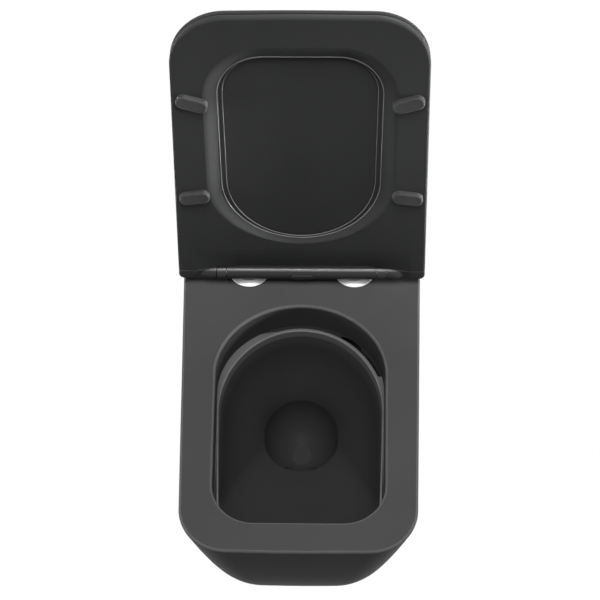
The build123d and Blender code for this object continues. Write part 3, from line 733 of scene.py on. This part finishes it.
POST_STEEL = TurnedMetal(
    "post_steel", dark=grey(0.5), light=(0.66, 0.66, 0.65), gloss=(0.2, 0.38),
    patch=60.0, relief=0.00001,
)
SHAFT_STEEL = TurnedMetal(
    "shaft_steel", dark=grey(0.5), light=(0.66, 0.66, 0.65), gloss=(0.2, 0.38),
    patch=60.0, relief=0.00001, axis=Axis.X,
)
ZINC = ZincPlate(
    "zinc_steel", dark=(0.42, 0.43, 0.45), light=(0.64, 0.65, 0.66), gloss=(0.28, 0.5),
    patch=25.0, grain=1200.0, relief=0.00001,
)
BRASS = TurnedMetal(
    "nut_brass", dark=(0.5, 0.36, 0.15), light=(0.74, 0.58, 0.3), gloss=(0.2, 0.4),
    patch=80.0, relief=0.00001,
)
SPRING_STEEL = RolledSteel(
    "spring_steel", dark=(0.38, 0.38, 0.39), light=(0.56, 0.56, 0.57), gloss=(0.25, 0.4),
    relief=0.000005,
)
DAMPER_PLASTIC = MouldedPlastic(
    "damper_plastic", dark=(0.46, 0.47, 0.49), light=(0.58, 0.59, 0.61), gloss=(0.25, 0.35),
    grain=1600.0, relief=0.000006,
)
ACETAL = MouldedPlastic(
    "acetal", dark=(0.56, 0.56, 0.53), light=(0.7, 0.69, 0.65), gloss=(0.35, 0.5),
    grain=1600.0, relief=0.000006,
)


def arc(centre: Vector, radius: float, start: float, sweep: float, steps: int = 14) -> list[Vector]:
    """Points round part of a flat circle.

    Args:
        centre: The circle's middle.
        radius: Its radius.
        start: Where the arc begins, in degrees.
        sweep: How far it goes round, in degrees.
        steps: How many chords it is drawn with.

    Returns:
        The points, with both ends.
    """
    turns = [math.radians(start + sweep * number / steps) for number in range(steps + 1)]
    return [centre + Vector((math.cos(turn), math.sin(turn))) * radius for turn in turns]


@dataclass(frozen=True)
class Arch:
    """Flat outline of an opening: half an ellipse behind and two round corners in front.

    Attributes:
        half: Half the ellipse's width.
        rear: Reach from the hinge axis to the ellipse's back.
        middle: Reach to the ellipse's middle.
        front: Reach to the straight front.
        front_half: Half the width in front.
        corner: Radius of the front corners.
        steps: Chords that the half ellipse is drawn with.
    """

    half: float
    rear: float
    middle: float
    front: float
    front_half: float
    corner: float
    steps: int = 48

    def points(self) -> list[Vector]:
        """Points round the outline.

        Returns:
            The points, from the right of the ellipse, with the hinge axis at nought.
        """
        outline = []
        for number in range(self.steps + 1):
            turn = math.pi * number / self.steps
            reach = self.middle - (self.middle - self.rear) * math.sin(turn)
            outline.append(Vector((self.half * math.cos(turn), -reach)))
        for side, start in ((Side.LEFT, 180.0), (Side.RIGHT, 270.0)):
            centre = Vector((side.sign * (self.front_half - self.corner), self.corner - self.front))
            outline += arc(centre, self.corner, start, 90.0)
        return outline


@dataclass
class Shape:
    """Points and faces of a fine piece."""

    points: list[Vector] = field(default_factory=list)
    faces: list[tuple[int, ...]] = field(default_factory=list)

    @classmethod
    def through(cls, rings: list[list[Vector]], closed: bool = True) -> "Shape":
        """A skin through rings of equally many points.

        Args:
            rings: The rings, in order.
            closed: Whether the last ring joins the first.

        Returns:
            The skin.
        """
        made = cls([point for ring in rings for point in ring])
        count = len(rings[0])
        for number in range(len(rings) if closed else len(rings) - 1):
            first, second = number * count, (number + 1) % len(rings) * count
            for place in range(count):
                after = (place + 1) % count
                made.faces.append((first + place, first + after, second + after, second + place))
        return made

    @classmethod
    def bead(
        cls, path: list[Vector], upright: Vector, radius: float, closed: bool = True, sides: int = 8
    ) -> "Shape":
        """A round bead along a path.

        Args:
            path: Points of its middle line.
            upright: A direction that the path never runs along.
            radius: Half its thickness.
            closed: Whether its end meets its start.
            sides: Faces round it.

        Returns:
            The bead.
        """
        last = len(path) - 1
        turns = [math.tau * side / sides for side in range(sides)]
        rings = []
        for number, middle in enumerate(path):
            ahead = path[(number + 1) % len(path)] if closed else path[min(number + 1, last)]
            behind = path[number - 1] if closed else path[max(number - 1, 0)]
            across = (ahead - behind).cross(upright).normalized()
            lift = across.cross(ahead - behind).normalized()
            spokes = [across * math.cos(turn) + lift * math.sin(turn) for turn in turns]
            rings.append([middle + spoke * radius for spoke in spokes])
        return cls.through(rings, closed)


@dataclass
class Workshop:
    """The loaded frame, its materials so far, and ways to finish a node or add a fine piece.

    Attributes:
        nodes: The CAD nodes by name.
        made: The material of each finish used so far.
        crease: Angle in degrees above which an edge of a fine piece is sharp.
    """

    nodes: dict[str, bpy.types.Object]
    made: dict[Finish, bpy.types.Material] = field(default_factory=dict)
    crease: float = 65.0

    def finish(self, finish: Finish, *names: str) -> None:
        """Gives CAD nodes a finish.

        Args:
            finish: The finish.
            names: The nodes.
        """
        for name in names:
            self._coat(self.nodes[name], finish)
            LOG.info("%s: %s", name, finish.name)

    def add(self, name: str, shape: Shape, finish: Finish, body: Body, slot: Slot) -> bpy.types.Object:
        """Adds a fine piece that moves with a CAD body.

        Args:
            name: The piece's name.
            shape: Its points and faces.
            finish: Its finish.
            body: The body that carries it.
            slot: Not used.

        Returns:
            The new object.
        """
        mesh = bpy.data.meshes.new(name)
        mesh.from_pydata([tuple(point) for point in shape.points], [], shape.faces)
        mesh.shade_smooth()
        mesh.set_sharp_from_angle(angle=math.radians(self.crease))
        return self._hang(name, mesh, finish, body)

    def stand_in(self, name: str, node: str, finish: Finish, body: Body, slot: Slot) -> bpy.types.Object:
        """Adds a copy of a CAD node's mesh that takes its place, and hides the node.

        Args:
            name: The piece's name.
            node: The node that it stands for.
            finish: Its finish.
            body: The body that carries it.
            slot: Not used.

        Returns:
            The new object.
        """
        piece = self._hang(name, self.nodes[node].data.copy(), finish, body)
        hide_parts(node)
        return piece

    def _hang(
        self, name: str, mesh: bpy.types.Mesh, finish: Finish, body: Body
    ) -> bpy.types.Object:
        """Makes an object of a mesh.

        Args:
            name: The piece's name.
            mesh: Its mesh.
            finish: Its finish.
            body: The body that carries it.

        Returns:
            The new object.
        """
        piece = bpy.data.objects.new(name, mesh)
        bpy.context.scene.collection.objects.link(piece)
        self._coat(piece, finish)
        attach(piece, body.value)
        LOG.info("%s: %d faces, %s", name, len(mesh.polygons), finish.name)
        return piece

    def _coat(self, thing: bpy.types.Object, finish: Finish) -> None:
        """Puts one finish on an object, in place of what it had.

        Args:
            thing: The object.
            finish: Its finish.
        """
        if finish not in self.made:
            self.made[finish] = finish.material()
        slots = thing.data.materials
        slots.clear()
        slots.append(self.made[finish])


@dataclass
class SubAssembly(ABC):
    """A group of CAD nodes that belong together, with the fine pieces on them."""

    shop: Workshop

    def build(self) -> None:
        """Adds the group's fine pieces; a group that has none adds nothing."""

    @abstractmethod
    def dress(self) -> None:
        """Gives the group's nodes their finishes."""


@dataclass
class Pan(SubAssembly):
    """The china casting, the roll along its shelf and the caps in its sides."""

    lip: Arch = Arch(half=0.1182, rear=0.0593, middle=0.197, front=0.3972, front_half=0.1122, corner=0.0582)
    lip_height: float = 0.0291
    roll: float = 0.0016

    def build(self) -> None:
        """Adds the roll over which the bowl is flushed, in a lighter grey that is a painted highlight."""
        edge = [Vector((point.x, HINGE.y + point.y, self.lip_height)) for point in self.lip.points()]
        roll = Shape.bead(edge, UP, self.roll)
        self.shop.add("bowl_lip", roll, PAINTED_HIGHLIGHT_GLAZE, Body.PAN, Slot.CHINA)

    def dress(self) -> None:
        """Gives the china its glaze and the caps their plastic."""
        self.shop.finish(CHINA, "pan")
        self.shop.finish(BAR_PLASTIC, "side_caps")


@dataclass
class WallFixing(SubAssembly):
    """Brackets on the wall studs and the screws that hold the pan to them."""

    def dress(self) -> None:
        """Gives brackets and screws their zinc."""
        self.shop.finish(ZINC, *Side.pair("wall_bracket"), "side_screws")


@dataclass
class HingeFixing(SubAssembly):
    """Rosettes, posts and the studs that clamp them through the deck."""

    stud_radius: float = 0.004
    thread_low: float = 0.0265
    thread_high: float = 0.0395
    pitch: float = 0.00125
    ridge: float = 0.0003
    ridge_sides: int = 6
    steps: int = 20

    def build(self) -> None:
        """Cuts the thread that shows below each clamping nut."""
        for side in Side:
            helix = self._helix(side.sign * POST_HALF)
            thread = Shape.bead(helix, UP, self.ridge, closed=False, sides=self.ridge_sides)
            self.shop.add(f"stud_thread_{side.value}", thread, ZINC, Body.PAN, Slot.ZINC)

    def _helix(self, across: float) -> list[Vector]:
        """Middle line of a thread's ridge.

        Args:
            across: Where the stud stands.

        Returns:
            Points up the helix.
        """
        turns = (self.thread_high - self.thread_low) / self.pitch
        points = []
        for number in range(int(turns * self.steps) + 1):
            turn = math.tau * number / self.steps
            height = self.thread_low + self.pitch * number / self.steps
            ring = Vector((math.cos(turn), math.sin(turn), 0.0)) * self.stud_radius
            points.append(Vector((across, POST_DEPTH, height)) + ring)
        return points

    def dress(self) -> None:
        """Gives discs, posts, rubber and nuts their finishes."""
        self.shop.finish(CHROME, *Side.pair("rosette"))
        self.shop.finish(POST_STEEL, *Side.pair("hinge_post"))
        self.shop.finish(PLUG_RUBBER, "rosette_gaskets", "deck_plugs")
        self.shop.finish(ZINC, "hinge_studs")
        self.shop.finish(BRASS, "plug_nuts")


@dataclass
class HingeBar(SubAssembly):
    """The fixed bar with its dampers, button, latches and spring."""

    press: float = 0.0025

    def build(self) -> None:
        """Puts an own copy of the leaf spring's mesh in place of its node."""
        leaf = self.shop.stand_in("button_leaf", "button_spring", SPRING_STEEL, Body.PAN, Slot.SPRING)
        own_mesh(leaf)

    def dress(self) -> None:
        """Gives housing, mechanism and button their finishes."""
        self.shop.finish(BAR_PLASTIC, "hinge_bar", "bar_cover")
        self.shop.finish(ZINC, "cover_screws")
        self.shop.finish(DAMPER_PLASTIC, "seat_damper", "lid_damper")
        self.shop.finish(BUTTON_PLASTIC, "release_button")
        self.shop.finish(ACETAL, *Side.pair("latch"))


@dataclass(frozen=True)
class Foot:
    """A rubber foot under the seat, shaped as a slot.

    Attributes:
        row: Whether it stands in front or behind.
        across: Distance from the seat's middle.
        reach: Distance from the hinge axis.
        tilt: Turn of its length, in degrees.
        half_run: Half the length between its round ends.
        radius: Radius of those ends.
        inset: How far its rim lies inside its outline.
    """

    row: Row
    across: float
    reach: float
    tilt: float
    half_run: float = 0.0115
    radius: float = 0.010
    inset: float = 0.0024

    def rim(self, side: Side) -> list[Vector]:
        """Flat outline of the foot's rim.

        Args:
            side: Left or right.

        Returns:
            Points round the slot.
        """
        radius = self.radius - self.inset
        slot = arc(Vector((self.half_run, 0.0)), radius, -90.0, 180.0)
        slot += arc(Vector((-self.half_run, 0.0)), radius, 90.0, 180.0)
        turn = Matrix.Rotation(math.radians(-side.sign * self.tilt), 2)
        return [turn @ point + Vector((side.sign * self.across, -self.reach)) for point in slot]


@dataclass
class Seat(SubAssembly):
    """The seat ring with its rubber feet; sizes are those of the lying seat, ahead of the hinge axis."""

    raised: float = 99.5
    hole: Arch = Arch(half=0.110, rear=0.069, middle=0.173, front=0.384, front_half=0.110, corner=0.061)
    hole_height: float = 0.0957
    bead: float = 0.0006
    lip: Arch = Arch(half=0.1033, rear=0.0695, middle=0.173, front=0.3812, front_half=0.1033, corner=0.0555)
    lip_low: float = 0.0985
    lip_high: float = 0.0998
    feet: tuple[Foot, ...] = (
        Foot(Row.FRONT, across=0.143, reach=0.316, tilt=18.0),
        Foot(Row.REAR, across=0.148, reach=0.153, tilt=-8.0),
    )
    foot_height: float = 0.0807
    foot_rim: float = 0.0005

    def build(self) -> None:
        """Adds the beads and the lip round the hole, and the raised rim of each foot."""
        self._bead("seat_bead", self.hole, self.hole_height)
        section = (
            (self.hole, self.lip_low), (self.lip, self.lip_low),
            (self.lip, self.lip_high), (self.hole, self.lip_high),
        )
        lip = Shape.through([self._stood(edge.points(), height) for edge, height in section])
        self.shop.add("seat_lip", lip, SHADED_SEAT_PLASTIC, Body.SEAT, Slot.SEAT)
        self._bead("seat_lip_bead", self.lip, (self.lip_low + self.lip_high) / 2)
        for foot in self.feet:
            for side in Side:
                edge = self._stood(foot.rim(side), self.foot_height)
                rim = Shape.bead(edge, self._turn() @ UP, self.foot_rim)
                name = f"foot_rim_{foot.row.value}_{side.value}"
                self.shop.add(name, rim, FOOT_RIM, Body.SEAT, Slot.RUBBER)

    def _bead(self, name: str, edge: Arch, height: float) -> None:
        """Adds a bead along an edge of the hole, whose light grey is a painted highlight.

        Args:
            name: The piece's name.
            edge: The edge's outline.
            height: Its height on the lying seat.
        """
        bead = Shape.bead(self._stood(edge.points(), height), self._turn() @ UP, self.bead)
        self.shop.add(name, bead, GLOSSY_PAINTED_HIGHLIGHT, Body.SEAT, Slot.SEAT)

    def _turn(self) -> Matrix:
        """The turn that raises the lying seat."""
        return Matrix.Rotation(math.radians(-self.raised), 3, "X")

    def _stood(self, outline: list[Vector], height: float) -> list[Vector]:
        """Moves an outline on the lying seat to where the raised seat has it.

        Args:
            outline: Flat points, with the hinge axis at nought.
            height: Their height.

        Returns:
            The points in the frame.
        """
        turn = self._turn()
        return [HINGE + turn @ Vector((point.x, point.y, height - HINGE.z)) for point in outline]

    def dress(self) -> None:
        """Gives seat, feet, shaft and bush their finishes."""
        self.shop.finish(SHADED_SEAT_PLASTIC, "seat")
        for row in Row:
            self.shop.finish(BUFFER_RUBBER, *Side.pair(f"seat_buffer_{row.value}"))
        self.shop.finish(SHAFT_STEEL, "seat_shaft")
        self.shop.finish(ACETAL, "seat_bush")


@dataclass
class Lid(SubAssembly):
    """The lid behind the seat."""

    def dress(self) -> None:
        """Gives lid, pads, shaft and bush their finishes."""
        self.shop.finish(LID_PLASTIC, "lid")
        self.shop.finish(BUFFER_RUBBER, "lid_buffers")
        self.shop.finish(SHAFT_STEEL, "lid_shaft")
        self.shop.finish(ACETAL, "lid_bush")


@dataclass(frozen=True)
class Softbox:
    """A rectangular studio lamp.

    Attributes:
        name: The lamp's name.
        stand: Where it hangs.
        aim: The point that it faces.
        size: Its width and height.
        watts: Its power.
        spread: Angle of its beam, in degrees.
        mirrored: Whether glossy surfaces show it.
    """

    name: str
    stand: Point
    aim: Point
    size: tuple[float, float]
    watts: float
    spread: float = 180.0
    mirrored: bool = True

    def light(self) -> bpy.types.Object:
        """Hangs the lamp and turns it to its aim.

        Returns:
            The lamp.
        """
        lamp = bpy.data.lights.new(self.name, "AREA")
        lamp.shape = "RECTANGLE"
        lamp.size, lamp.size_y = self.size
        lamp.energy = self.watts
        lamp.spread = math.radians(self.spread)
        hung = bpy.data.objects.new(self.name, lamp)
        hung.location = self.stand
        hung.visible_camera = False
        hung.visible_glossy = self.mirrored
        hung.rotation_euler = (Vector(self.aim) - Vector(self.stand)).to_track_quat("-Z", "Y").to_euler()
        bpy.context.scene.collection.objects.link(hung)
        return hung


LAMPS = (
    Softbox(
        "overhead", (0.0, -0.65, 2.5), aim=(0.0, -0.25, 0.1), size=(1.2, 1.2), watts=64.0, mirrored=False
    ),
    Softbox("sheen", (0.0, 0.1, 2.4), aim=(0.0, -0.1, 0.1), size=(1.2, 0.3), watts=15.0),
    Softbox(
        "right_strip", (1.3, -0.12, 0.34), aim=(0.0, -0.09, 0.33), size=(0.12, 0.3), watts=2.2,
        spread=20.0, mirrored=False,
    ),
    Softbox(
        "left_strip", (-1.3, -0.12, 0.34), aim=(0.0, -0.09, 0.33), size=(0.12, 0.3), watts=0.4,
        spread=20.0, mirrored=False,
    ),
    Softbox("right_fill", (2.2, -0.3, -0.05), aim=(0.0, -0.25, -0.05), size=(0.8, 0.25), watts=30.0),
    Softbox("left_fill", (-2.2, -0.3, -0.05), aim=(0.0, -0.25, -0.05), size=(0.8, 0.25), watts=25.0),
    Softbox("back_fill", (0.5, 2.2, 0.5), aim=(0.0, 0.0, 0.2), size=(1.2, 0.6), watts=32.0),
)


@dataclass(frozen=True)
class PhotoCamera:
    """The camera, turned and placed as the photograph's, with angles in degrees."""

    target: Point = (-0.00225, -0.13921, 0.080)
    distance: float = 2.21574
    azimuth: float = 1.5576
    elevation: float = 54.4292
    roll: float = -0.9497
    lens: float = 91.095

    def place(self) -> bpy.types.Object:
        """Makes the scene's camera.

        Returns:
            The camera.
        """
        turn, rise, lean = (math.radians(angle) for angle in (self.azimuth, self.elevation, self.roll))
        back = Vector((math.sin(turn) * math.cos(rise), -math.cos(turn) * math.cos(rise), math.sin(rise)))
        level = UP.cross(back).normalized()
        upright = back.cross(level)
        right = level * math.cos(lean) + upright * math.sin(lean)
        up = upright * math.cos(lean) - level * math.sin(lean)
        camera = bpy.data.cameras.new("camera")
        camera.lens = self.lens
        held = bpy.data.objects.new("camera", camera)
        turned = Matrix((right, up, back)).transposed().to_4x4()
        held.matrix_world = Matrix.Translation(Vector(self.target) + back * self.distance) @ turned
        bpy.context.scene.collection.objects.link(held)
        bpy.context.scene.camera = held
        return held


@dataclass
class Studio:
    """Pale floor, soft lamps and a white surround.

    Attributes:
        floor_z: Height of the floor.
        floor_half: Half its width.
        floor_tone: Its colour where light falls on it.
        shadow: Share of that light that shows, and with it the shadow.
        ambient: Strength of the surround as a light.
        lamps: The lamps.
    """

    floor_z: float = -0.32
    floor_half: float = 9.0
    floor_tone: Colour = grey(0.25)
    shadow: float = 0.06
    ambient: float = 0.12
    lamps: tuple[Softbox, ...] = LAMPS

    def build(self) -> None:
        """Sets up floor, surround and lamps."""
        bpy.context.scene.view_settings.view_transform = "Standard"
        self._floor()
        self._surround()
        for lamp in self.lamps:
            lamp.light()
            LOG.info("lamp: %s", lamp.name)

    @staticmethod
    def _seen(graph: Graph) -> Value:
        """Tells the rays that show the background from those that carry light.

        Args:
            graph: The graph of the floor or of the world.

        Returns:
            One for rays from the camera, in gloss or through glass, and nought for others.
        """
        rays = ("Is Camera Ray", "Is Glossy Ray", "Is Transmission Ray")
        direct, gloss, glass = (graph.add("ShaderNodeLightPath", output=ray) for ray in rays)
        return (direct + gloss + glass) > 0.0

    def _floor(self) -> None:
        """Makes the floor: white where it is seen, with a light shadow."""
        half = self.floor_half
        corners = [(-half, -half), (half, -half), (half, half), (-half, half)]
        mesh = bpy.data.meshes.new("floor")
        mesh.from_pydata([(*corner, self.floor_z) for corner in corners], [], [(0, 1, 2, 3)])
        floor = bpy.data.objects.new("floor", mesh)
        bpy.context.scene.collection.objects.link(floor)
        paint = bpy.data.materials.new("floor_paint")
        paint.use_nodes = True
        graph = Graph(paint.node_tree)
        shown = 1.0 - self.shadow
        white = graph.add("ShaderNodeEmission", {}, {"Color": opaque(WHITE), "Strength": 1.0 / shown})
        matt = graph.add("ShaderNodeBsdfDiffuse", {}, {"Color": opaque(self.floor_tone)})
        mixed = graph.add("ShaderNodeMixShader", {}, {0: self._seen(graph) * shown, 1: matt, 2: white})
        graph.add("ShaderNodeOutputMaterial", {}, {"Surface": mixed})
        mesh.materials.append(paint)

    def _surround(self) -> None:
        """Makes the world: white where it is seen, dim as a light."""
        world = bpy.data.worlds.new("surround")
        world.use_nodes = True
        bpy.context.scene.world = world
        graph = Graph(world.node_tree)
        strength = self.ambient + self._seen(graph) * (1.0 - self.ambient)
        glow = graph.add("ShaderNodeBackground", {}, {"Color": opaque(WHITE), "Strength": strength})
        graph.add("ShaderNodeOutputWorld", {}, {"Surface": glow})


def main() -> None:
    """Loads the frame, dresses every assembly and sets up the studio."""
    logging.basicConfig(level=logging.INFO, format="%(message)s")
    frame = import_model()
    shop = Workshop(frame["nodes"])
    for group in (Pan, WallFixing, HingeFixing, HingeBar, Seat, Lid):
        assembly = group(shop)
        assembly.build()
        assembly.dress()
    Studio().build()
    PhotoCamera().place()


if __name__ == "__main__":
    main()
